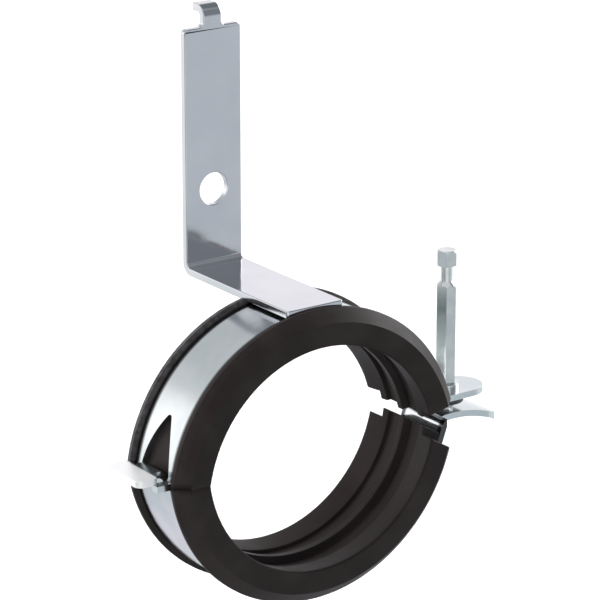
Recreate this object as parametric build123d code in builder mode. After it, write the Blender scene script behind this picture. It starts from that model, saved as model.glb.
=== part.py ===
"""Rubber lined pipe clamp with a rear mounting bracket.

Two hinged steel half bands carry a rubber liner.  The left ends hook into each other, the
right ends are ears that a captive closure screw draws together, and an L-shaped bracket is
welded on top.  The pipe runs along Y, +X points to the closure screw and +Z is up.  The origin
lies on the axis of the upper half, in the middle of the clamp's width.  Millimetres.
"""
from build123d import *
from math import asin, atan2, cos, degrees, radians, sin, sqrt
import os

# ---------------------------------------------------------------- driving dimensions
bore_radius = 45.0            # seat of the pipe, on the ribs of the liner
liner_thickness = 8.0         # from the rib crests to the steel band
liner_width = 35.4            # along the pipe

band_thickness = 2.2
band_width = 22.0

lower_shift = 0.1             # centre of the lower half, seen from the upper half's centre:
lower_rise = 13.4             # the empty clamp is closed past round, so its bore is a lens

rib_height = 2.2              # middle rib that touches the pipe, over the grooves beside it
rib_crest = 2.4
rib_flank = 0.8
edge_seat = 1.6               # seat at each edge of the liner, along the pipe
edge_chamfer = 0.4
pad_width = 9.2               # sloping pad between that edge and the groove
pad_drop = 1.0                # how far the pad falls away from the pipe

lip_wall = 11.3               # inner wall of the raised lips, from the middle of the width
lip_slope = 0.8               # how far that wall leans out
lip_height = 1.7              # crest of the lips over the band
lip_crest = 1.4
shoulder_drop = 2.5           # outer edge of the lips, below the band's outside

upper_ear_height = 12.6       # middle of the upper ear's plate
ear_bend_radius = 3.3         # middle of the sheet
upper_ear_length = 21.8       # from the band's outside to the ear's tip
ear_width = 16.0
round_end_margin = 0.01       # a round end's radius stays this far under half its width
ear_root_length = 0.3         # the bands narrow to the ears this far outside

lower_run_out_angle = -20.0   # where the lower band leaves its circle, straight on
lower_run_out_height = 4.0    # where that straight run ends
lower_ear_start_angle = 4.0   # heading of the ear behind its bend
lower_ear_bow_radius = 45.0
lower_ear_bow_angle = 30.0
ear_tip_radius = 3.0
ear_tip_angle = 40.0

hinge_plate_height = 9.9      # middle of the T-shaped head
hinge_plate_gap = 3.7         # from the band's outside to the inner edge of the head's wings
hinge_plate_length = 8.1
hinge_plate_width = 20.0
hinge_corner_radius = 2.6
neck_width = 10.6             # of the tongue that carries the head
neck_foot_height = 5.2        # where the lower band narrows to the neck
neck_bend_radius = 3.0
hook_bend_radius = 2.2
hook_overlap = 1.7            # of the wings on the hooks
hinge_gap = 0.3               # between the hooks of the upper band and the head's wings

window_apex_angle = 148.7     # apex of the window in the upper band
window_apex_radius = 1.4
window_foot_half_width = 7.8
window_side_bow = 1.1         # the sides bulge by this much

screw_reach = 7.7             # from the band's outside to the axis of the closure screw
thread_radius = 3.0           # M6
screw_hole_clearance = 0.3
thread_core_radius = 2.6      # tapped hole of the lower ear, without its thread
screw_flange_radius = 4.6
screw_flange_height = 1.9
hex_across_flats = 6.35       # quarter-inch drive
hex_corner_angle = 54.6
hex_shank_length = 36.3       # from the upper ear to the snap groove of the drive end
hex_shoulder_length = 1.7
hex_shoulder_start = 0.5      # the turning tool enters this far before the shoulder
hex_neck_radius = 2.05
hex_groove_length = 7.3       # with both shoulders
hex_groove_corner = 0.6
hex_head_length = 5.2
hex_end_chamfer = 0.7
turning_margin = 1.0          # how far the turned cuts reach outside the hexagon
collar_radius = 6.3
collar_top_gap = 0.12
collar_height = 2.2
thread_tip_length = 0.8       # under the collar
thread_tip_chamfer = 0.6

upper_liner_end_height = 13.6  # middle of the end face of the lips
upper_liner_end_slope = 11.0
lower_liner_end_height = 1.9
lower_liner_end_slope = -30.0
lip_cut_back = 3.0            # the lips end short of the liner's middle
liner_joint_height = 7.6
liner_joint_gap = 0.06

bracket_width = 22.1
bracket_thickness = 2.5
bracket_seat_gap = 0.05
bracket_front = -12.2
bracket_wall_face = 48.3
bracket_height = 83.55        # of the upright leg, without its tab
bracket_bend_radius = 1.6     # inside of the bend
bracket_corner_radius = 1.6
wall_hole_radius = 5.5
wall_hole_rise = 28.15        # from the underside of the bracket
tab_width = 7.0
tab_height = 7.2
tab_length = 4.3              # behind the upright leg
tab_root_radius = 1.5

# ---------------------------------------------------------------- values that follow from them
liner_outer = bore_radius + liner_thickness
band_middle = liner_outer + band_thickness / 2
band_outer = liner_outer + band_thickness
lip_top = band_outer + lip_height
liner_half = liner_width / 2
band_half = band_width / 2
wide = 4 * bore_radius        # longer than anything that is cut with it

upper_ear_reach = band_outer + upper_ear_length
ear_end_radius = ear_width / 2 - round_end_margin
ear_root = band_outer + ear_root_length
hinge_plate_root = -(band_outer + hinge_plate_gap)
hinge_plate_reach = hinge_plate_root - hinge_plate_length
hook_reach = hinge_plate_root - hook_overlap
hook_height = hinge_plate_height - band_thickness - hinge_gap

collar_top = upper_ear_height - band_thickness / 2 - collar_top_gap
screw_seat = upper_ear_height + band_thickness / 2
screw_x = band_outer + screw_reach
hex_shank_top = screw_seat + hex_shank_length
hex_shoulder_top = hex_shank_top + hex_shoulder_length
hex_neck_top = hex_shank_top + hex_groove_length
hex_head_top = hex_neck_top + hex_head_length

bracket_bottom = band_outer + bracket_seat_gap
bracket_middle_height = bracket_bottom + bracket_thickness / 2
bracket_middle_depth = bracket_wall_face - bracket_thickness / 2
tab_top = bracket_bottom + bracket_height + tab_height

upper_centre = Vector(0, 0)
lower_centre = Vector(lower_shift, lower_rise)

liner_middle = bore_radius + liner_thickness / 2
upper_liner_end_angle = degrees(asin(upper_liner_end_height / liner_middle))
lower_liner_end_angle = degrees(asin((lower_liner_end_height - lower_rise) / liner_middle))


def on_circle(centre, radius, angle):
    """Point of the XZ plane at an angle round a centre."""
    return Vector(centre.X + radius * cos(radians(angle)), centre.Y + radius * sin(radians(angle)))


def bend_beside_circle(centre, line_height, bend_radius, side, above):
    """Centre of a bend that leads from the band's circle into a level plate.

    side is 1 at the closure and -1 at the hinge; above is 1 where the bend's centre lies over
    the plate and -1 where it lies under it.
    """
    height = line_height + above * bend_radius - centre.Y
    reach = sqrt((band_middle + bend_radius) ** 2 - height**2)
    return Vector(centre.X + side * reach, centre.Y + height)


def touch(centre, bend_centre):
    """Point where such a bend touches the band's circle."""
    angle = degrees(atan2(bend_centre.Y - centre.Y, bend_centre.X - centre.X))
    return on_circle(centre, band_middle, angle), angle


def liner_plane(centre, angle):
    """Plane of the liner's section: x points outwards at that angle, y along the pipe."""
    outwards = (cos(radians(angle)), 0, sin(radians(angle)))
    along = (-sin(radians(angle)), 0, cos(radians(angle)))
    return Plane(origin=(centre.X, 0, centre.Y), x_dir=outwards, z_dir=along)


# ---------------------------------------------------------------- upper band
upper_ear_bend = bend_beside_circle(upper_centre, upper_ear_height, ear_bend_radius, 1, 1)
upper_ear_touch, upper_ear_angle = touch(upper_centre, upper_ear_bend)
hook_bend = bend_beside_circle(upper_centre, hook_height, hook_bend_radius, -1, 1)
hook_touch, hook_angle = touch(upper_centre, hook_bend)

with BuildPart() as upper_band:
    with BuildSketch(Plane.XZ):
        with BuildLine():
            ear = Line((upper_ear_reach, upper_ear_height), (upper_ear_bend.X, upper_ear_height))
            ear_bend = TangentArc(ear @ 1, upper_ear_touch, tangent=ear % 1)
            arch = CenterArc((0, 0), band_middle, upper_ear_angle, hook_angle - upper_ear_angle)
            hook_turn = TangentArc(arch @ 1, (hook_bend.X, hook_height), tangent=arch % 1)
            Line(hook_turn @ 1, (hook_reach, hook_height))
        trace(line_width=band_thickness)
    extrude(amount=band_half, both=True)
    # outline from above: full band width, rounded ear
    with BuildSketch(Plane.XY):
        Rectangle(wide, band_width, align=(Align.MAX, Align.CENTER))
        with Locations((ear_root, 0)):
            Rectangle(ear_root, band_width, align=(Align.MAX, Align.CENTER))
        with Locations((upper_ear_reach, 0)):
            RectangleRounded(
                upper_ear_reach, ear_width, ear_end_radius, align=(Align.MAX, Align.CENTER)
            )
    extrude(amount=wide, both=True, mode=Mode.INTERSECT)
    # clearance hole of the closure screw
    with Locations(Plane.XY.offset(upper_ear_height)):
        with Locations((screw_x, 0)):
            Hole(thread_radius + screw_hole_clearance, depth=band_thickness)
    # three-cornered window that leaves two hooked legs at the hinge
    apex = on_circle(upper_centre, band_middle, window_apex_angle)
    with BuildSketch(Plane.YZ.offset(-wide)):
        with BuildLine():
            foot = (window_foot_half_width, hook_height + band_thickness)
            side = SagittaArc((0, apex.Y), foot, window_side_bow)
            Polyline(side @ 1, (window_foot_half_width, 0), (0, 0))
            mirror(about=Plane.YZ)
        make_face()
        tip = vertices().sort_by(Axis.Y)[-1]
        fillet(tip, window_apex_radius)
    extrude(amount=wide, mode=Mode.SUBTRACT)
upper_band.part.label = "upper_band"

# ---------------------------------------------------------------- lower band
neck_bend = bend_beside_circle(lower_centre, hinge_plate_height, neck_bend_radius, -1, -1)
neck_touch, neck_angle = touch(lower_centre, neck_bend)
run_out_start = on_circle(lower_centre, band_middle, lower_run_out_angle)
run_out_heading = lower_run_out_angle + 90
run_out_length = (lower_run_out_height - run_out_start.Y) / sin(radians(run_out_heading))

with BuildPart() as lower_band:
    with BuildSketch(Plane.XZ):
        with BuildLine():
            head = Line((hinge_plate_reach, hinge_plate_height), (neck_bend.X, hinge_plate_height))
            neck = TangentArc(head @ 1, neck_touch, tangent=head % 1)
            bowl = CenterArc(
                lower_centre, band_middle, neck_angle, lower_run_out_angle - neck_angle
            )
            run_out = PolarLine(bowl @ 1, run_out_length, run_out_heading)
            ear_bend = JernArc(
                run_out @ 1, run_out % 1, ear_bend_radius, lower_ear_start_angle - run_out_heading
            )
            ear = JernArc(ear_bend @ 1, ear_bend % 1, lower_ear_bow_radius, -lower_ear_bow_angle)
            JernArc(ear @ 1, ear % 1, ear_tip_radius, -ear_tip_angle)
        trace(line_width=band_thickness)
    extrude(amount=band_half, both=True)
    lower_ear_reach = lower_band.part.bounding_box().max.X
    # outline from above: T-shaped head, full band width, rounded ear
    with BuildSketch(Plane.XY):
        with Locations((ear_root, 0)):
            Rectangle(ear_root - hinge_plate_root, band_width, align=(Align.MAX, Align.CENTER))
        with Locations((lower_ear_reach, 0)):
            RectangleRounded(
                lower_ear_reach, ear_width, ear_end_radius, align=(Align.MAX, Align.CENTER)
            )
        with Locations((hinge_plate_reach, 0)):
            RectangleRounded(
                hinge_plate_root - hinge_plate_reach,
                hinge_plate_width,
                hinge_corner_radius,
                align=(Align.MIN, Align.CENTER),
            )
        with Locations((hinge_plate_root, 0)):
            Rectangle(2 * hinge_corner_radius, neck_width)
    extrude(amount=wide, both=True, mode=Mode.INTERSECT)
    # the neck is narrower, so that it passes between the legs of the upper band
    with BuildSketch(Plane.YZ.offset(hinge_plate_root)):
        for side in (-1, 1):
            with Locations((side * (neck_width + wide) / 2, neck_foot_height)):
                Rectangle(wide, wide, align=(Align.CENTER, Align.MIN))
    extrude(amount=-hinge_plate_root / 2, mode=Mode.SUBTRACT)
    # tapped hole
    with Locations((screw_x, 0, 0)):
        Hole(thread_core_radius)
lower_band.part.label = "lower_band"


# ---------------------------------------------------------------- rubber liners
def half_liner_outline():
    """Corners of one half of the liner's section, from the middle rib outwards."""
    groove = bore_radius + rib_height
    pad = liner_half - pad_width
    return [
        (bore_radius, 0),
        (bore_radius, rib_crest / 2),
        (groove, rib_crest / 2 + rib_flank),
        (groove, pad - rib_flank / 2),
        (bore_radius + pad_drop, pad),
        (bore_radius, liner_half - edge_seat),
        (bore_radius, liner_half - edge_chamfer),
        (bore_radius + edge_chamfer, liner_half),
        (band_outer - shoulder_drop, liner_half),
        (lip_top, lip_wall + lip_slope + lip_crest),
        (lip_top, lip_wall + lip_slope),
        (band_outer, lip_wall),
        (liner_outer, lip_wall),
        (liner_outer, 0),
    ]


def liner_end_cutter(middle, slope, side, step):
    """Solid that trims a liner at the closure: its lips at a line, its middle a step on."""
    with BuildPart() as cutter:
        with BuildSketch(Plane.XZ):
            with Locations(Location(middle, slope)):
                Rectangle(bore_radius, wide, align=(Align.CENTER, side))
        extrude(amount=liner_half, both=True)
        # the middle keeps a step more of its length
        with BuildSketch(Plane.XZ):
            with Locations(Location(middle, slope)):
                Rectangle(bore_radius, step, align=(Align.CENTER, side))
        extrude(amount=lip_wall, both=True, mode=Mode.SUBTRACT)
    return cutter.part


upper_liner_end = on_circle(upper_centre, liner_middle, upper_liner_end_angle)
lower_liner_end = on_circle(lower_centre, liner_middle, lower_liner_end_angle)

with BuildPart() as upper_liner:
    with BuildSketch(liner_plane(upper_centre, 0)):
        with BuildLine():
            Polyline(*half_liner_outline(), close=True)
        make_face()
        mirror(about=Plane.XZ)
    revolve(axis=Axis((0, 0, 0), (0, -1, 0)), revolution_arc=180)
    # level joint with the lower liner at the hinge
    with BuildSketch(Plane.XY.offset(liner_joint_height + liner_joint_gap / 2)):
        Rectangle(wide, wide, align=(Align.MAX, Align.CENTER))
    extrude(amount=-wide, mode=Mode.SUBTRACT)
    add(
        liner_end_cutter(upper_liner_end, upper_liner_end_slope, Align.MAX, lip_cut_back),
        mode=Mode.SUBTRACT,
    )
    # the lips are pressed flat under the bracket
    with BuildSketch(Plane.XY.offset(bracket_bottom - bracket_seat_gap)):
        with Locations((0, bracket_front - bracket_seat_gap)):
            Rectangle(
                bracket_width + 4 * bracket_seat_gap, wide, align=(Align.CENTER, Align.MIN)
            )
    extrude(amount=wide, mode=Mode.SUBTRACT)
upper_liner.part.label = "upper_liner"

with BuildPart() as lower_liner:
    with BuildSketch(liner_plane(lower_centre, 180)):
        with BuildLine():
            Polyline(*half_liner_outline(), close=True)
        make_face()
        mirror(about=Plane.XZ)
    revolve(axis=Axis((lower_centre.X, 0, lower_centre.Y), (0, -1, 0)), revolution_arc=180)
    # level joint at the hinge, sloping end face at the closure
    with BuildSketch(Plane.XY.offset(liner_joint_height - liner_joint_gap / 2)):
        Rectangle(wide, wide, align=(Align.MAX, Align.CENTER))
    extrude(amount=wide, mode=Mode.SUBTRACT)
    add(
        liner_end_cutter(lower_liner_end, lower_liner_end_slope, Align.MIN, lip_cut_back),
        mode=Mode.SUBTRACT,
    )
lower_liner.part.label = "lower_liner"

# ---------------------------------------------------------------- mounting bracket
with BuildPart() as mounting_bracket:
    with BuildSketch(Plane.YZ):
        with BuildLine():
            FilletPolyline(
                (bracket_front, bracket_middle_height),
                (bracket_middle_depth, bracket_middle_height),
                (bracket_middle_depth, tab_top - bracket_thickness / 2),
                (bracket_wall_face + tab_length, tab_top - bracket_thickness / 2),
                radius=bracket_bend_radius + bracket_thickness / 2,
            )
        trace(line_width=bracket_thickness)
    extrude(amount=bracket_width / 2, both=True)
    # the hook tab is narrower than the upright leg, whose corners are round
    with BuildSketch(Plane.XZ):
        with Locations((0, bracket_bottom)):
            Rectangle(bracket_width, bracket_height, align=(Align.CENTER, Align.MIN))
            fillet(vertices().group_by(Axis.Y)[-1], bracket_corner_radius)
            Rectangle(tab_width, wide, align=(Align.CENTER, Align.MIN))
        roots = vertices().group_by(Axis.Y)[-2].sort_by(Axis.X)[1:-1]
        fillet(roots, tab_root_radius)
    extrude(amount=wide, both=True, mode=Mode.INTERSECT)
    # the free end of the level leg has the same round corners
    front_corners = edges().filter_by(Axis.Z).group_by(Axis.Y)[0]
    fillet(front_corners, bracket_corner_radius / 2)
    with Locations(Plane.XZ.offset(-bracket_middle_depth)):
        with Locations((0, bracket_bottom + wall_hole_rise)):
            Hole(wall_hole_radius, depth=bracket_thickness)
mounting_bracket.part.label = "mounting_bracket"

# ---------------------------------------------------------------- closure screw and its collar
with BuildPart() as closure_screw:
    # turned blank: thread, flange, shank, neck and head
    with BuildSketch(Plane.XY.offset(screw_seat)):
        with Locations((screw_x, 0)):
            Circle(screw_flange_radius)
    extrude(amount=screw_flange_height)
    with BuildSketch(Plane.XY.offset(collar_top - collar_height - thread_tip_length)):
        with Locations((screw_x, 0)):
            Circle(thread_radius)
    extrude(until=Until.NEXT)
    chamfer(faces().sort_by(Axis.Z)[0].edges(), thread_tip_chamfer)
    with BuildSketch(Plane.XY.offset(screw_seat + screw_flange_height)):
        with Locations(Location((screw_x, 0, 0), hex_corner_angle)):
            RegularPolygon(hex_across_flats / 2, 6, major_radius=False)
    extrude(amount=hex_head_top - screw_seat - screw_flange_height)
    # the drive's snap groove and the bevelled ends are turned
    hex_corner = hex_across_flats / sqrt(3)
    with BuildSketch(Plane.XZ):
        with BuildLine():
            Polyline(
                (screw_x + hex_corner + turning_margin, hex_shank_top - hex_shoulder_start),
                (screw_x + hex_corner, hex_shank_top),
                (screw_x + hex_neck_radius, hex_shoulder_top),
                (screw_x + hex_neck_radius, hex_neck_top - hex_groove_corner),
                (screw_x + hex_corner, hex_neck_top),
                (screw_x + hex_corner + turning_margin, hex_neck_top),
                close=True,
            )
        make_face()
        with BuildLine():
            Polyline(
                (screw_x + hex_corner - hex_end_chamfer, hex_head_top),
                (screw_x + hex_corner, hex_head_top - hex_end_chamfer),
                (screw_x + hex_corner, hex_head_top),
                close=True,
            )
        make_face()
    revolve(axis=Axis((screw_x, 0, 0), (0, 0, 1)), mode=Mode.SUBTRACT)
closure_screw.part.label = "closure_screw"

with BuildPart() as screw_collar:
    with BuildSketch(Plane.XY.offset(collar_top - collar_height)):
        with Locations((screw_x, 0)):
            Circle(collar_radius)
            Circle(thread_radius, mode=Mode.SUBTRACT)
    extrude(amount=collar_height)
screw_collar.part.label = "screw_collar"

# ---------------------------------------------------------------- files
os.makedirs("parts", exist_ok=True)
export_step(upper_band.part, "parts/upper_band.step")
export_step(lower_band.part, "parts/lower_band.step")
export_step(upper_liner.part, "parts/upper_liner.step")
export_step(lower_liner.part, "parts/lower_liner.step")
export_step(mounting_bracket.part, "parts/mounting_bracket.step")
export_step(closure_screw.part, "parts/closure_screw.step")
export_step(screw_collar.part, "parts/screw_collar.step")
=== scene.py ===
from math import cos, radians, sin

import bmesh
import bpy
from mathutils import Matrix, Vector


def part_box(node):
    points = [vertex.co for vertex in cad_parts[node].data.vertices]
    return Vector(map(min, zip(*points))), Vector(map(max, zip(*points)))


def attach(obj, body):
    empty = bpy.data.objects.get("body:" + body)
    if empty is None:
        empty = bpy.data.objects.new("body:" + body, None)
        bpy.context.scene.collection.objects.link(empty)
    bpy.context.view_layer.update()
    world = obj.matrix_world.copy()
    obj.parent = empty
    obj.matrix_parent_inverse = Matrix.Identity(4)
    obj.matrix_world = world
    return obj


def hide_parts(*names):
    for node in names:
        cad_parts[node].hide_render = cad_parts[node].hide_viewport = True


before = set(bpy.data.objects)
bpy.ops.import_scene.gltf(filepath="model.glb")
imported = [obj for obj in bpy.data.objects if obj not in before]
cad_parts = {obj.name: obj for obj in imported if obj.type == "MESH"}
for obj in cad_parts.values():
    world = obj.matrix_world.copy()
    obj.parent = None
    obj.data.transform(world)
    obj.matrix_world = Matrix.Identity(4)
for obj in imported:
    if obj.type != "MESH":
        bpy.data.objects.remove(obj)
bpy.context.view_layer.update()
mm = 0.001


# ------------------------------------------------------------------ upper band
# A strip of zinc plated steel, pressed to half a ring with an ear for the closure screw at one
# end and two hooked legs beside a three-cornered window at the other.  Its blanked edges are
# slightly rounded and the zinc shows faint drawing lines.  A near-black strip beside the lips is
# painted into its colour: a painted reflection of the dark lip walls and their shade on the metal.
same_place = 0.002 * mm
flat_enough = radians(0.3)
sliver = 0.004 * mm
sheet_edge_radius = 0.28 * mm
sheet_edge_steps = 3
sheet_edge_angle = radians(30)


def edge_worn_copy(node, name, radius, steps, angle, reshape=None, stays_sharp=None):
    """Mesh of a CAD node with its sharp edges rounded, as an object of its own.

    reshape may move vertices first, and edges whose two ends stays_sharp accepts aren't rounded.
    """
    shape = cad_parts[node].data.copy()
    work = bmesh.new()
    work.from_mesh(shape)
    bmesh.ops.remove_doubles(work, verts=work.verts, dist=same_place)
    bmesh.ops.dissolve_limit(
        work, angle_limit=flat_enough, verts=work.verts, edges=work.edges, delimit=set()
    )
    if reshape:
        for vertex in work.verts:
            vertex.co = reshape(vertex.co)
        work.normal_update()
    weight = work.edges.layers.float.new("bevel_weight_edge")
    for edge in work.edges:
        kept = stays_sharp and all(stays_sharp(end.co) for end in edge.verts)
        if not kept and edge.calc_face_angle(0.0) > angle:
            edge[weight] = 1.0
    for face in work.faces:
        face.smooth = True
    work.to_mesh(shape)
    work.free()
    shape.name = name
    piece = bpy.data.objects.new(name, shape)
    bpy.context.scene.collection.objects.link(piece)
    rounding = piece.modifiers.new("rounded edges", "BEVEL")
    rounding.width = radius
    rounding.segments = steps
    rounding.limit_method = "WEIGHT"
    rounding.use_clamp_overlap = True
    piece.data = settled(piece)
    work = bmesh.new()
    work.from_mesh(piece.data)
    bmesh.ops.remove_doubles(work, verts=work.verts, dist=sliver)
    bmesh.ops.dissolve_degenerate(work, dist=sliver, edges=work.edges)
    work.to_mesh(piece.data)
    work.free()
    flatness = piece.modifiers.new("flat faces stay flat", "WEIGHTED_NORMAL")
    flatness.weight = 100
    piece.data = settled(piece)
    piece.data.name = name
    return piece


def settled(piece):
    """Mesh of a piece with its modifiers applied and removed."""
    bpy.context.view_layer.update()
    evaluated = piece.evaluated_get(bpy.context.evaluated_depsgraph_get())
    mesh = bpy.data.meshes.new_from_object(evaluated)
    piece.modifiers.clear()
    return mesh


def put_on(piece, material, body, node):
    """Dress a finished piece, let it ride on its body and stand for its CAD node."""
    piece.data.materials.clear()
    piece.data.materials.append(material)
    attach(piece, body)
    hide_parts(node)


def new_group(name, inputs, outputs):
    """Empty shader node group with typed inputs and outputs."""
    group = bpy.data.node_groups.new(name, "ShaderNodeTree")
    for label, kind, default in inputs:
        socket = group.interface.new_socket(label, in_out="INPUT", socket_type="NodeSocket" + kind)
        socket.default_value = default
    for label, kind in outputs:
        group.interface.new_socket(label, in_out="OUTPUT", socket_type="NodeSocket" + kind)
    return group


def add(tree, kind, **settings):
    """Shader node with its settings."""
    node = tree.nodes.new(kind)
    for key, value in settings.items():
        setattr(node, key, value)
    return node


def mix_colours(tree, mask, low, high):
    """Mix node between two colours; each end is a colour or an output socket."""
    mix = add(tree, "ShaderNodeMix", data_type="RGBA")
    for socket, value in ((mix.inputs[0], mask), (mix.inputs[6], low), (mix.inputs[7], high)):
        if isinstance(value, bpy.types.NodeSocket):
            tree.links.new(value, socket)
        else:
            socket.default_value = value
    return mix.outputs[2]


def span(tree, value, low, high, out_low=0.0, out_high=1.0):
    """Map Range node from low..high to out_low..out_high, clamped."""
    node = add(tree, "ShaderNodeMapRange")
    tree.links.new(value, node.inputs[0])
    for index, number in enumerate((low, high, out_low, out_high), start=1):
        node.inputs[index].default_value = number
    return node.outputs[0]


def from_pipe_axis(tree, place):
    """Distance of the surface from the pipe's axis."""
    flat = add(tree, "ShaderNodeVectorMath", operation="MULTIPLY")
    flat.inputs[1].default_value = (1, 0, 1)
    tree.links.new(place.outputs["Object"], flat.inputs[0])
    length = add(tree, "ShaderNodeVectorMath", operation="LENGTH")
    tree.links.new(flat.outputs[0], length.inputs[0])
    return length.outputs["Value"]


def product(tree, first, second):
    """Math node that multiplies two sockets."""
    node = add(tree, "ShaderNodeMath", operation="MULTIPLY")
    tree.links.new(first, node.inputs[0])
    tree.links.new(second, node.inputs[1])
    return node.outputs[0]


# Zinc coat: soft clouds, fine drawing lines along one direction, and small pits and scuffs.
zinc_coat = new_group(
    "zinc coat",
    [("Position", "Vector", (0, 0, 0)), ("Colour", "Color", (0.8, 0.8, 0.8, 1)),
     ("Cloud Colour", "Color", (0.7, 0.7, 0.7, 1)), ("Cloud Scale", "Float", 60.0),
     ("Line Stretch", "Vector", (1, 1, 1)), ("Waviness", "Float", 1.0),
     ("Roughness", "Float", 0.25), ("Roughness Spread", "Float", 0.12)],
    [("Colour", "Color"), ("Roughness", "Float"), ("Height", "Float")],
)
zin = add(zinc_coat, "NodeGroupInput")
zout = add(zinc_coat, "NodeGroupOutput")
clouds = add(zinc_coat, "ShaderNodeTexNoise")
clouds.inputs["Detail"].default_value = 3
zinc_coat.links.new(zin.outputs["Position"], clouds.inputs["Vector"])
zinc_coat.links.new(zin.outputs["Cloud Scale"], clouds.inputs["Scale"])
stretch = add(zinc_coat, "ShaderNodeVectorMath", operation="MULTIPLY")
zinc_coat.links.new(zin.outputs["Position"], stretch.inputs[0])
zinc_coat.links.new(zin.outputs["Line Stretch"], stretch.inputs[1])
lines = add(zinc_coat, "ShaderNodeTexNoise")
lines.inputs["Scale"].default_value = 900
lines.inputs["Detail"].default_value = 2
zinc_coat.links.new(stretch.outputs[0], lines.inputs["Vector"])
pits = add(zinc_coat, "ShaderNodeTexVoronoi")
pits.inputs["Scale"].default_value = 1400
zinc_coat.links.new(zin.outputs["Position"], pits.inputs["Vector"])
cloud_mask = span(zinc_coat, clouds.outputs[0], 0.35, 0.68)
colour = mix_colours(zinc_coat, cloud_mask, zin.outputs["Colour"], zin.outputs["Cloud Colour"])
zinc_coat.links.new(colour, zout.inputs["Colour"])
spread = add(zinc_coat, "ShaderNodeMath", operation="MULTIPLY_ADD")
zinc_coat.links.new(cloud_mask, spread.inputs[0])
zinc_coat.links.new(zin.outputs["Roughness Spread"], spread.inputs[1])
zinc_coat.links.new(zin.outputs["Roughness"], spread.inputs[2])
zinc_coat.links.new(spread.outputs[0], zout.inputs["Roughness"])
pit_height = span(zinc_coat, pits.outputs[0], 0.0, 0.35, -0.25, 0.0)
relief = add(zinc_coat, "ShaderNodeMath", operation="ADD")
zinc_coat.links.new(lines.outputs[0], relief.inputs[0])
zinc_coat.links.new(pit_height, relief.inputs[1])
waves = add(zinc_coat, "ShaderNodeTexNoise")
waves.inputs["Scale"].default_value = 110
waves.inputs["Detail"].default_value = 1
zinc_coat.links.new(zin.outputs["Position"], waves.inputs["Vector"])
wavy_relief = add(zinc_coat, "ShaderNodeMath", operation="MULTIPLY_ADD")
zinc_coat.links.new(waves.outputs[0], wavy_relief.inputs[0])
zinc_coat.links.new(zin.outputs["Waviness"], wavy_relief.inputs[1])
zinc_coat.links.new(relief.outputs[0], wavy_relief.inputs[2])
zinc_coat.links.new(wavy_relief.outputs[0], zout.inputs["Height"])


def zinc(name, colour, cloud_colour, cloud_scale, line_stretch, waviness, roughness, spread, bump):
    """Material of zinc plated steel with its own colour and drawing direction."""
    material = bpy.data.materials.new(name)
    material.use_nodes = True
    tree = material.node_tree
    shader = tree.nodes["Principled BSDF"]
    shader.inputs["Metallic"].default_value = 1.0
    place = add(tree, "ShaderNodeTexCoord")
    coat = add(tree, "ShaderNodeGroup", node_tree=zinc_coat)
    tree.links.new(place.outputs["Object"], coat.inputs["Position"])
    coat.inputs["Colour"].default_value = (*colour, 1)
    coat.inputs["Cloud Colour"].default_value = (*cloud_colour, 1)
    coat.inputs["Cloud Scale"].default_value = cloud_scale
    coat.inputs["Line Stretch"].default_value = line_stretch
    coat.inputs["Waviness"].default_value = waviness
    coat.inputs["Roughness"].default_value = roughness
    coat.inputs["Roughness Spread"].default_value = spread
    tree.links.new(coat.outputs["Colour"], shader.inputs["Base Color"])
    tree.links.new(coat.outputs["Roughness"], shader.inputs["Roughness"])
    height = add(tree, "ShaderNodeBump")
    height.inputs["Strength"].default_value = bump
    height.inputs["Distance"].default_value = 0.03 * mm
    tree.links.new(coat.outputs["Height"], height.inputs["Height"])
    tree.links.new(height.outputs["Normal"], shader.inputs["Normal"])
    return material


# Painted reflection and shade: a near-black strip on the band beside the lips stands for the dark
# lip walls mirrored in the shiny zinc.
lip_reflection_starts = 8.6 * mm
lip_reflection_full = 9.6 * mm
ring_ends = 55.7 * mm
ring_fade = 0.5 * mm
lip_reflection_strength = 0.9
painted_lip_reflection_colour = (0.035, 0.032, 0.032)
band_zinc = zinc(
    "bright_zinc_band", (0.88, 0.90, 0.92), (0.74, 0.79, 0.81), 45.0, (0.08, 1.0, 0.08),
    8.0, 0.13, 0.10, 0.35,
)
tree = band_zinc.node_tree
shader = tree.nodes["Principled BSDF"]
place = add(tree, "ShaderNodeTexCoord")
across = add(tree, "ShaderNodeSeparateXYZ")
tree.links.new(place.outputs["Object"], across.inputs[0])
from_middle = add(tree, "ShaderNodeMath", operation="ABSOLUTE")
tree.links.new(across.outputs["Y"], from_middle.inputs[0])
beside_lip = span(tree, from_middle.outputs[0], lip_reflection_starts, lip_reflection_full, 0.0, lip_reflection_strength)
on_ring = span(tree, from_pipe_axis(tree, place), ring_ends, ring_ends + ring_fade, 1.0, 0.0)
painted_reflection_mask = product(tree, beside_lip, on_ring)
coat_colour = shader.inputs["Base Color"].links[0].from_socket
reflection_painted_colour = mix_colours(tree, painted_reflection_mask, coat_colour, (*painted_lip_reflection_colour, 1))
tree.links.new(reflection_painted_colour, shader.inputs["Base Color"])
upper_band = edge_worn_copy(
    "upper_band", "upper_band_sheet", sheet_edge_radius, sheet_edge_steps, sheet_edge_angle
)
put_on(upper_band, band_zinc, "upper", "upper_band")


# ------------------------------------------------------------------ lower band
# The other half ring of the same strip.  A T-shaped head is pressed over the hooks of the upper
# band, duller than the rest, and the far end bows out as the ear with the tapped
# hole for the closure screw.  The head's pale, less metallic colour is a painted highlight for
# the strong light that falls on it.
head_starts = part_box("upper_band")[0][0] + 1.6 * mm
head_fade = 1.0 * mm
painted_head_light_colour = (0.90, 0.895, 0.89)
painted_light_head_metallic = 0.45
head_dullness = 0.10
screw_axis = (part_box("screw_collar")[0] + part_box("screw_collar")[1]) / 2
thread_crest = 3.0 * mm
thread_core = 2.6 * mm
thread_pitch = 1.0 * mm
thread_sink = 0.03 * mm         # the foot of a ridge lies this deep in its wall
thread_foot_share = 0.80        # widths of the ridge as shares of the pitch
thread_crest_share = 0.16
thread_steps = 40

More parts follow.
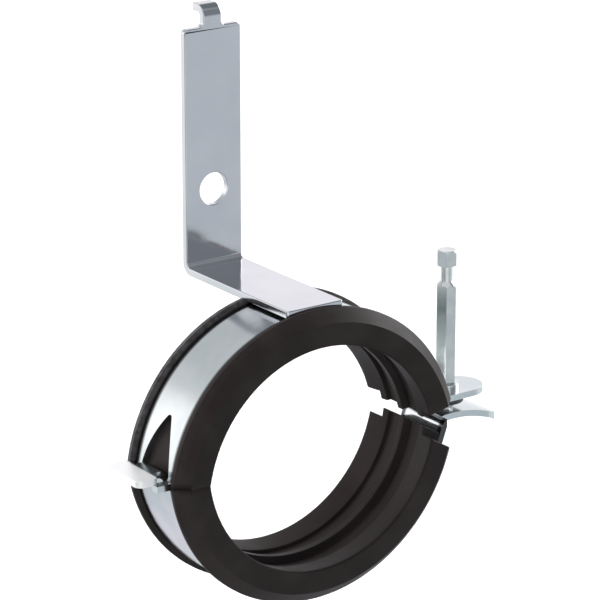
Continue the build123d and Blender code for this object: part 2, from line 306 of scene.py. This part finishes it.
zinc_with_painted_head_light = band_zinc.copy()
zinc_with_painted_head_light.name = "bright_zinc_band_with_painted_head_light"
tree = zinc_with_painted_head_light.node_tree
shader = tree.nodes["Principled BSDF"]
place = add(tree, "ShaderNodeTexCoord")
along = add(tree, "ShaderNodeSeparateXYZ")
tree.links.new(place.outputs["Object"], along.inputs[0])
# Painted highlight: the head is painted pale white and made less metallic, standing for the strong
# light on it.
on_head = span(tree, along.outputs["X"], head_starts, head_starts - head_fade)
tree.links.new(span(tree, on_head, 0, 1, 1.0, painted_light_head_metallic), shader.inputs["Metallic"])
coat_colour = shader.inputs["Base Color"].links[0].from_socket
head_painted_light = mix_colours(tree, on_head, coat_colour, (*painted_head_light_colour, 1))
tree.links.new(head_painted_light, shader.inputs["Base Color"])
duller = add(tree, "ShaderNodeMath", operation="MULTIPLY_ADD")
duller.inputs[1].default_value = head_dullness
tree.links.new(on_head, duller.inputs[0])
tree.links.new(shader.inputs["Roughness"].links[0].from_socket, duller.inputs[2])
tree.links.new(duller.outputs[0], shader.inputs["Roughness"])


def from_screw_axis(point):
    """Distance of a point from the axis of the closure screw."""
    return Vector((point.x - screw_axis[0], point.y - screw_axis[1])).length


def moved_to_radius(point, radius):
    """The point at another distance from that axis."""
    factor = radius / from_screw_axis(point)
    return Vector((
        screw_axis[0] + (point.x - screw_axis[0]) * factor,
        screw_axis[1] + (point.y - screw_axis[1]) * factor,
        point.z,
    ))


hole_wall_margin = 0.02 * mm


def drilled_for_thread(point):
    """Opens the tapped hole from the thread's core to its full width."""
    if abs(from_screw_axis(point) - thread_core) > hole_wall_margin:
        return point
    return moved_to_radius(point, thread_crest)


lower_band = edge_worn_copy(
    "lower_band", "lower_band_sheet", sheet_edge_radius, sheet_edge_steps, sheet_edge_angle,
    reshape=drilled_for_thread,
)
put_on(lower_band, zinc_with_painted_head_light, "lower", "lower_band")

# One tree makes every thread: a spiral with a trapezoid ridge, from its foot to its crest.
thread_tree = bpy.data.node_groups.new("screw thread", "GeometryNodeTree")
for label, kind in (
    ("Foot Radius", "Float"), ("Crest Radius", "Float"), ("Pitch", "Float"), ("Turns", "Float"),
    ("Foot Place", "Vector"), ("Finish", "Material"),
):
    thread_tree.interface.new_socket(label, in_out="INPUT", socket_type="NodeSocket" + kind)
thread_tree.interface.new_socket("Geometry", in_out="OUTPUT", socket_type="NodeSocketGeometry")
sizes_in = add(thread_tree, "NodeGroupInput")


def reckon(operation, first, second):
    """Math node in the thread tree on sockets or numbers."""
    node = add(thread_tree, "ShaderNodeMath", operation=operation)
    for socket, value in zip(node.inputs, (first, second)):
        if isinstance(value, bpy.types.NodeSocket):
            thread_tree.links.new(value, socket)
        else:
            socket.default_value = value
    return node.outputs[0]


def ridge_width(share):
    """Width of the ridge as a share of the pitch."""
    return reckon("MULTIPLY", sizes_in.outputs["Pitch"], share)


ridge_depth = reckon("SUBTRACT", sizes_in.outputs["Crest Radius"], sizes_in.outputs["Foot Radius"])
ridge_middle = reckon("MULTIPLY_ADD", ridge_depth, 0.5)
thread_tree.links.new(sizes_in.outputs["Foot Radius"], ridge_middle.node.inputs[2])
spiral = add(thread_tree, "GeometryNodeCurveSpiral")
spiral.inputs["Resolution"].default_value = thread_steps
thread_tree.links.new(sizes_in.outputs["Turns"], spiral.inputs["Rotations"])
for end in ("Start Radius", "End Radius"):
    thread_tree.links.new(ridge_middle, spiral.inputs[end])
thread_tree.links.new(
    reckon("MULTIPLY", sizes_in.outputs["Turns"], sizes_in.outputs["Pitch"]), spiral.inputs["Height"]
)
upright = add(thread_tree, "GeometryNodeSetCurveNormal", mode="Z_UP")
thread_tree.links.new(spiral.outputs[0], upright.inputs["Curve"])
ridge = add(thread_tree, "GeometryNodeCurvePrimitiveQuadrilateral", mode="TRAPEZOID")
thread_tree.links.new(ridge_width(thread_foot_share), ridge.inputs["Bottom Width"])
thread_tree.links.new(ridge_width(thread_crest_share), ridge.inputs["Top Width"])
ridge.inputs["Offset"].default_value = 0
ridge_height = reckon("ABSOLUTE", ridge_depth, 0)
thread_tree.links.new(ridge_height, ridge.inputs["Height"])
turned = add(thread_tree, "GeometryNodeTransform")
outward_or_inward = reckon("SIGN", ridge_depth, 0)
turn = add(thread_tree, "ShaderNodeCombineXYZ")
thread_tree.links.new(reckon("MULTIPLY", outward_or_inward, radians(-90)), turn.inputs["Z"])
thread_tree.links.new(turn.outputs[0], turned.inputs["Rotation"])
thread_tree.links.new(ridge.outputs[0], turned.inputs["Geometry"])
swept = add(thread_tree, "GeometryNodeCurveToMesh")
swept.inputs["Fill Caps"].default_value = True
thread_tree.links.new(upright.outputs[0], swept.inputs["Curve"])
thread_tree.links.new(turned.outputs[0], swept.inputs["Profile Curve"])
placed = add(thread_tree, "GeometryNodeTransform")
thread_tree.links.new(swept.outputs[0], placed.inputs["Geometry"])
thread_tree.links.new(sizes_in.outputs["Foot Place"], placed.inputs["Translation"])
realized = add(thread_tree, "GeometryNodeRealizeInstances")
thread_tree.links.new(placed.outputs[0], realized.inputs[0])
finished = add(thread_tree, "GeometryNodeSetMaterial")
thread_tree.links.new(realized.outputs[0], finished.inputs["Geometry"])
thread_tree.links.new(sizes_in.outputs["Finish"], finished.inputs["Material"])
sizes_out = add(thread_tree, "NodeGroupOutput")
thread_tree.links.new(finished.outputs[0], sizes_out.inputs[0])


def thread(name, foot, crest, bottom, top, material, body):
    """Thread round the closure screw's axis between two heights, as a piece on a body."""
    piece = bpy.data.objects.new(name, bpy.data.meshes.new(name))
    bpy.context.scene.collection.objects.link(piece)
    maker = piece.modifiers.new("thread", "NODES")
    maker.node_group = thread_tree
    sizes = {
        "Foot Radius": foot, "Crest Radius": crest, "Pitch": thread_pitch,
        "Turns": (top - bottom) / thread_pitch,
        "Foot Place": (screw_axis[0], screw_axis[1], bottom), "Finish": material,
    }
    for socket in thread_tree.interface.items_tree:
        if socket.in_out == "INPUT":
            maker[socket.identifier] = sizes[socket.name]
    piece.data = settled(piece)
    piece.data.name = name
    work = bmesh.new()
    work.from_mesh(piece.data)
    bmesh.ops.remove_doubles(work, verts=work.verts, dist=same_place)
    bmesh.ops.recalc_face_normals(work, faces=work.faces)
    work.to_mesh(piece.data)
    work.free()
    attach(piece, body)
    return piece


ear_hole_bottom = 5.3 * mm
ear_hole_top = 6.9 * mm
thread(
    "tapped_hole_thread", thread_crest + thread_sink, thread_core, ear_hole_bottom, ear_hole_top,
    zinc_with_painted_head_light, "lower",
)


# ------------------------------------------------------------------ rubber liners
# Two extruded strips of black rubber, cut to length and pressed over the half bands.  Raised
# lips hold the bands on both sides, and a middle rib and two sloping pads meet the pipe.  Their
# edges are round and the extrusion leaves faint lines along the strip.  A mottled lighter grey is
# painted on the lips' outer crowns, full at the back and faint at the front: painted light for
# the light that the back lips catch.
rubber_edge_radius = 0.45 * mm
rubber_edge_steps = 3
rubber_edge_angle = radians(24)

rubber_skin = new_group(
    "rubber skin",
    [("Position", "Vector", (0, 0, 0)), ("Colour", "Color", (0.05, 0.05, 0.05, 1)),
     ("Bloom Colour", "Color", (0.1, 0.1, 0.1, 1)), ("Roughness", "Float", 0.5)],
    [("Colour", "Color"), ("Roughness", "Float"), ("Height", "Float")],
)
rin = add(rubber_skin, "NodeGroupInput")
rout = add(rubber_skin, "NodeGroupOutput")
bloom = add(rubber_skin, "ShaderNodeTexNoise")
bloom.inputs["Scale"].default_value = 70
bloom.inputs["Detail"].default_value = 4
rubber_skin.links.new(rin.outputs["Position"], bloom.inputs["Vector"])
grain = add(rubber_skin, "ShaderNodeTexNoise")
grain.inputs["Scale"].default_value = 2200
grain.inputs["Detail"].default_value = 2
rubber_skin.links.new(rin.outputs["Position"], grain.inputs["Vector"])
across = add(rubber_skin, "ShaderNodeVectorMath", operation="MULTIPLY")
across.inputs[1].default_value = (0.02, 1.0, 0.02)
rubber_skin.links.new(rin.outputs["Position"], across.inputs[0])
die_lines = add(rubber_skin, "ShaderNodeTexNoise")
die_lines.inputs["Scale"].default_value = 1500
die_lines.inputs["Detail"].default_value = 1
rubber_skin.links.new(across.outputs[0], die_lines.inputs["Vector"])
bloom_mask = span(rubber_skin, bloom.outputs[0], 0.42, 0.75)
rubber_colour = mix_colours(
    rubber_skin, bloom_mask, rin.outputs["Colour"], rin.outputs["Bloom Colour"]
)
rubber_skin.links.new(rubber_colour, rout.inputs["Colour"])
dull = add(rubber_skin, "ShaderNodeMath", operation="MULTIPLY_ADD")
dull.inputs[1].default_value = 0.16
rubber_skin.links.new(bloom_mask, dull.inputs[0])
rubber_skin.links.new(rin.outputs["Roughness"], dull.inputs[2])
rubber_skin.links.new(dull.outputs[0], rout.inputs["Roughness"])
skin_relief = add(rubber_skin, "ShaderNodeMath", operation="MULTIPLY_ADD")
skin_relief.inputs[1].default_value = 0.6
rubber_skin.links.new(grain.outputs[0], skin_relief.inputs[0])
rubber_skin.links.new(die_lines.outputs[0], skin_relief.inputs[2])
rubber_skin.links.new(skin_relief.outputs[0], rout.inputs["Height"])


def skinned(name, colour, bloom_colour, roughness, bump, depth):
    """Dull material with the rubber skin, for the rubber itself and for the collar's plastic."""
    material = bpy.data.materials.new(name)
    material.use_nodes = True
    tree = material.node_tree
    shader = tree.nodes["Principled BSDF"]
    place = add(tree, "ShaderNodeTexCoord")
    skin = add(tree, "ShaderNodeGroup", node_tree=rubber_skin)
    skin.inputs["Colour"].default_value = (*colour, 1)
    skin.inputs["Bloom Colour"].default_value = (*bloom_colour, 1)
    skin.inputs["Roughness"].default_value = roughness
    tree.links.new(place.outputs["Object"], skin.inputs["Position"])
    tree.links.new(skin.outputs["Colour"], shader.inputs["Base Color"])
    tree.links.new(skin.outputs["Roughness"], shader.inputs["Roughness"])
    height = add(tree, "ShaderNodeBump")
    height.inputs["Strength"].default_value = bump
    height.inputs["Distance"].default_value = depth
    tree.links.new(skin.outputs["Height"], height.inputs["Height"])
    tree.links.new(height.outputs["Normal"], shader.inputs["Normal"])
    return material


painted_lip_light_colour = (0.085, 0.082, 0.086)
lip_starts = 54.9 * mm
lip_fade = 1.0 * mm
back_lip_inside = 10.0 * mm
front_lip_light_share = 0.06
liner_rubber = skinned(
    "black_liner_rubber", (0.0135, 0.0085, 0.0080), (0.023, 0.0175, 0.0165), 0.42, 0.5, 0.04 * mm
)
tree = liner_rubber.node_tree
shader = tree.nodes["Principled BSDF"]
shader.inputs["Specular IOR Level"].default_value = 0.20
place = add(tree, "ShaderNodeTexCoord")
apart = add(tree, "ShaderNodeSeparateXYZ")
tree.links.new(place.outputs["Object"], apart.inputs[0])
# Painted light: a mottled lighter grey on the lips' outer crowns, full on the back lips and faint on
# the front ones, stands for the light they catch.
lip_light_mottle = add(tree, "ShaderNodeTexNoise")
lip_light_mottle.inputs["Scale"].default_value = 420
lip_light_mottle.inputs["Detail"].default_value = 4
tree.links.new(place.outputs["Object"], lip_light_mottle.inputs["Vector"])
on_lip = span(tree, from_pipe_axis(tree, place), lip_starts, lip_starts + lip_fade)
painted_lip_light = product(tree, on_lip, span(tree, lip_light_mottle.outputs[0], 0.30, 0.70, 0.25, 1.0))
at_the_back = span(tree, apart.outputs["Y"], 0, back_lip_inside, front_lip_light_share, 1.0)
plain_skin = shader.inputs["Base Color"].links[0].from_socket
skin_with_painted_lip_light = mix_colours(tree, product(tree, painted_lip_light, at_the_back), plain_skin, (*painted_lip_light_colour, 1))
tree.links.new(skin_with_painted_lip_light, shader.inputs["Base Color"])

liner_joint_height = 7.6 * mm
joint_margin = 0.1 * mm


def at_the_joint(point):
    """The liners meet in a plain cut at the hinge, whose edges stay sharp."""
    return point.x < 0 and abs(point.z - liner_joint_height) < joint_margin


for half in ("upper", "lower"):
    liner = edge_worn_copy(
        half + "_liner", half + "_liner_rubber", rubber_edge_radius, rubber_edge_steps,
        rubber_edge_angle, stays_sharp=at_the_joint,
    )
    put_on(liner, liner_rubber, half, half + "_liner")


# ------------------------------------------------------------------ mounting bracket
# Flat steel bar bent to an L and zinc plated, welded on the crown of the upper band.  It has a
# hole for the wall screw, and a narrow tab on top is bent back to hook into a rail.
bracket_zinc = zinc(
    "satin_zinc_bracket", (0.82, 0.81, 0.85), (0.74, 0.75, 0.79), 38.0, (1.0, 0.06, 0.06),
    8.0, 0.07, 0.06, 0.25,
)
bar_edge_radius = 0.35 * mm
bracket = edge_worn_copy(
    "mounting_bracket", "mounting_bracket_bar", bar_edge_radius, sheet_edge_steps,
    sheet_edge_angle,
)
put_on(bracket, bracket_zinc, "upper", "mounting_bracket")


# ------------------------------------------------------------------ closure screw
# One piece of drawn hexagonal steel: the thread and the flange are formed at its lower end, and
# the drive end has the groove in which a quarter-inch bit holder snaps.  Zinc plated.
screw_zinc = zinc(
    "grey_zinc_screw", (0.86, 0.87, 0.86), (0.74, 0.77, 0.76), 160.0, (1.0, 1.0, 0.03),
    2.0, 0.14, 0.12, 0.4,
)
collar_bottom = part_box("screw_collar")[0][2]
screw_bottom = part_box("closure_screw")[0][2]
tip_core = 2.45 * mm
tip_crest = thread_crest - 0.02 * mm
thread_starts = screw_bottom + 0.45 * mm
thread_ends = collar_bottom + 0.40 * mm
screw_edge_radius = 0.12 * mm
screw_edge_steps = 2


def turned_for_thread(point):
    """Takes the tip below the collar down to the thread's core."""
    if point.z > collar_bottom or from_screw_axis(point) < tip_core / 2:
        return point
    return moved_to_radius(point, from_screw_axis(point) - (thread_crest - tip_core))


screw = edge_worn_copy(
    "closure_screw", "closure_screw_steel", screw_edge_radius, screw_edge_steps, sheet_edge_angle,
    reshape=turned_for_thread,
)
put_on(screw, screw_zinc, "screw", "closure_screw")
thread(
    "closure_screw_thread", tip_core - 0.05 * mm, tip_crest, thread_starts, thread_ends,
    screw_zinc, "screw",
)


# ------------------------------------------------------------------ retaining collar
# A plain dark ring pressed on the thread under the upper ear, so that the screw can't fall out
# when the clamp is open.
collar_edge_radius = 0.25 * mm
collar_edge_steps = 3
collar_plastic = skinned(
    "dark_collar_plastic", (0.035, 0.040, 0.040), (0.055, 0.062, 0.062), 0.38, 0.3, 0.02 * mm
)
collar = edge_worn_copy(
    "screw_collar", "screw_collar_ring", collar_edge_radius, collar_edge_steps, sheet_edge_angle
)
put_on(collar, collar_plastic, "screw", "screw_collar")


# ------------------------------------------------------------------ floor
# A plain pale floor well below the clamp, which hangs free as it does on a wall.
floor_height = -0.30
floor_half = 6.0
floor_mesh = bpy.data.meshes.new("floor")
corners = [
    (x * floor_half, y * floor_half, floor_height)
    for x, y in ((-1, -1), (1, -1), (1, 1), (-1, 1))
]
floor_mesh.from_pydata(corners, [], [(0, 1, 2, 3)])
floor = bpy.data.objects.new("floor", floor_mesh)
bpy.context.scene.collection.objects.link(floor)
floor_white = bpy.data.materials.new("pale_floor")
floor_white.use_nodes = True
floor_shader = floor_white.node_tree.nodes["Principled BSDF"]
floor_shader.inputs["Base Color"].default_value = (0.92, 0.92, 0.92, 1)
floor_shader.inputs["Roughness"].default_value = 0.8
floor_mesh.materials.append(floor_white)
floor.visible_glossy = False


# ------------------------------------------------------------------ light
# A white studio: a bright band of walls round the clamp, a greyer ceiling and floor, and soft
# round screens, dark and bright, that draw the bent metal.  A broad lamp overhead and a strip
# at the right light the rubber and the floor.
world = bpy.data.worlds.new("studio")
world.use_nodes = True
bpy.context.scene.world = world
sky = world.node_tree
background = sky.nodes["Background"]
where = add(sky, "ShaderNodeTexCoord")
parts = add(sky, "ShaderNodeSeparateXYZ")
sky.links.new(where.outputs["Generated"], parts.inputs[0])
wall_brightness = 1.2
wall_heights = (       # height on a ball round the clamp, and the colour there
    (-1.00, (0.46, 0.46, 0.48)), (-0.62, (0.72, 0.71, 0.77)), (-0.46, (0.58, 0.65, 0.65)),
    (-0.15, (1.05, 1.05, 1.05)), (0.33, (1.13, 1.11, 1.16)), (0.52, (0.66, 0.69, 0.72)),
    (0.62, (0.68, 0.71, 0.74)), (0.76, (0.42, 0.45, 0.46)),
)
walls = add(sky, "ShaderNodeValToRGB")
sky.links.new(span(sky, parts.outputs["Z"], -1.0, 1.0), walls.inputs["Fac"])
for number, (height, colour) in enumerate(wall_heights):
    stop = walls.color_ramp.elements[0] if number == 0 else walls.color_ramp.elements.new(0.5)
    stop.position = (height + 1) / 2
    stop.color = (*(channel / wall_brightness for channel in colour), 1)
walls.color_ramp.elements.remove(walls.color_ramp.elements[-1])
bright_walls = add(sky, "ShaderNodeVectorMath", operation="SCALE")
bright_walls.inputs["Scale"].default_value = wall_brightness
sky.links.new(walls.outputs["Color"], bright_walls.inputs[0])
streaks = add(sky, "ShaderNodeTexNoise")
streaks.inputs["Scale"].default_value = 5.0
streaks.inputs["Detail"].default_value = 2
sky.links.new(where.outputs["Generated"], streaks.inputs["Vector"])


def screen(behind, direction, edge, core, colour):
    """Colour of a soft round screen over what is behind it; edge and core are cosines."""
    dot = add(sky, "ShaderNodeVectorMath", operation="DOT_PRODUCT")
    sky.links.new(where.outputs["Generated"], dot.inputs[0])
    dot.inputs[1].default_value = Vector(direction).normalized()
    return mix_colours(sky, span(sky, dot.outputs["Value"], edge, core), behind, (*colour, 1))


screens = (
    ((0.45, -0.85, -0.25), 0.78, 0.92, (0.53, 0.575, 0.61)),      # in the bracket's upright leg
    ((0.52, -0.78, 0.40), 0.86, 0.95, (0.22, 0.24, 0.26)),        # at the bracket's bend
    ((-0.95, 0.08, -0.31), 0.80, 0.94, (0.14, 0.165, 0.165)),     # in the screw's left face
    ((0.62, 0.09, 0.78), 0.82, 0.94, (0.17, 0.195, 0.20)),        # the same face, by the band
    ((-0.62, 0.775, 0.12), 0.93, 0.99, (1.25, 1.25, 1.25)),       # beside the window
    ((0.92, 0.03, 0.36), 0.945, 0.985, (6.0, 6.0, 6.0)),          # on the liner's right shoulder
    ((0.55, 0.775, 0.309), 0.94, 0.98, (0.95, 0.94, 0.965)),      # on level tops
)
room = bright_walls.outputs[0]
for direction, edge, core, colour in screens:
    room = screen(room, direction, edge, core, colour)
dapple = span(sky, streaks.outputs[0], 0.35, 0.65, 0.93, 1.05)
lit = add(sky, "ShaderNodeVectorMath", operation="SCALE")
sky.links.new(room, lit.inputs[0])
sky.links.new(dapple, lit.inputs["Scale"])
sky.links.new(lit.outputs[0], background.inputs["Color"])
background.inputs["Strength"].default_value = 1.0


def soft_lamp(name, kind, place, target, power, spread):
    """Lamp that lights dull surfaces only, so that no lamp shape shows in the metal."""
    lamp = bpy.data.lights.new(name, kind)
    lamp.energy = power
    if kind == "SUN":
        lamp.angle = spread
    else:
        lamp.size = spread
    holder = bpy.data.objects.new(name, lamp)
    holder.location = place
    holder.rotation_euler = (Vector(target) - Vector(place)).to_track_quat("-Z", "Y").to_euler()
    holder.visible_glossy = False
    bpy.context.scene.collection.objects.link(holder)


soft_lamp("overhead_lamp", "SUN", (-1.0, 0.8, 1.2), (0, 0, 0), 3.6, radians(60))
soft_lamp("side_strip", "AREA", (0.9, 0.1, 0.35), (0, 0, 0.04), 3, 0.4)

# ------------------------------------------------------------------ camera
# The camera looks down a little from the front left, with a long lens.
camera_azimuth = radians(35.398)
camera_elevation = radians(17.990)
camera_distance = 1.0753
camera_aim = Vector((0.00259, 0.0, 0.05604))
camera_lens = 198.446
look = Vector((
    sin(camera_azimuth) * cos(camera_elevation),
    cos(camera_azimuth) * cos(camera_elevation),
    -sin(camera_elevation),
))
lens = bpy.data.cameras.new("camera")
lens.lens = camera_lens
lens.sensor_width = 36.0
lens.clip_end = 50.0
camera = bpy.data.objects.new("camera", lens)
camera.location = camera_aim - look * camera_distance
camera.rotation_euler = look.to_track_quat("-Z", "Y").to_euler()
bpy.context.scene.collection.objects.link(camera)
bpy.context.scene.camera = camera
bpy.context.scene.view_settings.view_transform = "Standard"
